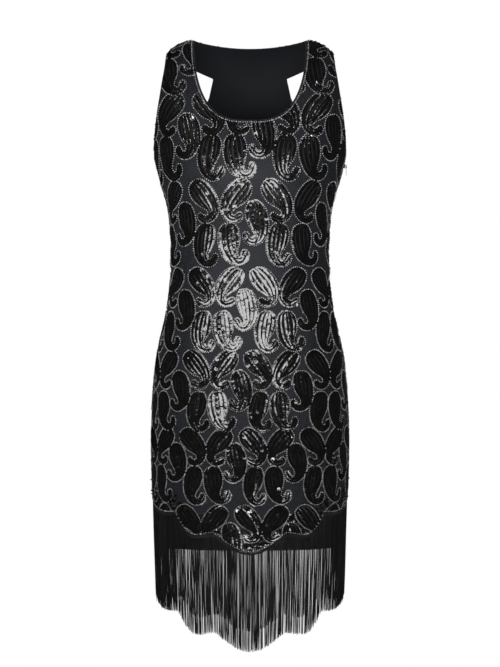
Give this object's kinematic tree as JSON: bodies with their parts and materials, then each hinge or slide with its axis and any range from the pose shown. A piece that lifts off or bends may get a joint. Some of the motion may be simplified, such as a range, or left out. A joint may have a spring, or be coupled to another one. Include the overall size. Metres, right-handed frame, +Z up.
{
  "type": "sequin fringe dress",
  "caption": "Sleeveless fitted dress with a scoop neck, racer back, beaded paisley sequins, scalloped hem and long fringe, shown filled out as worn.",
  "frame": {"origin": "middle of the shoulder line, halfway between the two shoulder straps at their highest inner points, where the wearer's shoulders hold the dress", "axes": "+Z up along the dress, +X towards the wearer's left, -Y the wearer's front"},
  "size_m": [0.3296, 0.2336, 1.0031],
  "materials": {
    "front": "black overlapping sequins in paisley motifs, outlined in silver-grey seed beads, on slate net",
    "back": "black overlapping sequins in paisley motifs, outlined in silver-grey seed beads, on slate net",
    "lining_front": "smooth charcoal lining cloth, slightly satin",
    "lining_back": "smooth charcoal lining cloth, slightly satin",
    "fringe_front": "black chainette fringe, soft sheen",
    "fringe_back": "black chainette fringe, soft sheen",
    "zip_chain": "closed black nylon coil on black tape",
    "zip_slider": "black enamel",
    "zip_pull": "black enamel"
  },
  "bodies": {
    "dress": {"front": "front", "back": "back", "lining_front": "lining_front", "lining_back": "lining_back", "fringe_front": "fringe_front", "fringe_back": "fringe_back", "zip_chain": "zip_chain", "zip_slider": "zip_slider"},
    "pull": {"zip_pull": "zip_pull"}
  },
  "joints": [
    {"name": "zip_pull_swing", "type": "hinge", "parent": "dress", "child": "pull", "pos_m": [0.15988, 0, -0.20798], "axis": [0, -1, 0], "range_deg": [-18, 150]}
  ]
}
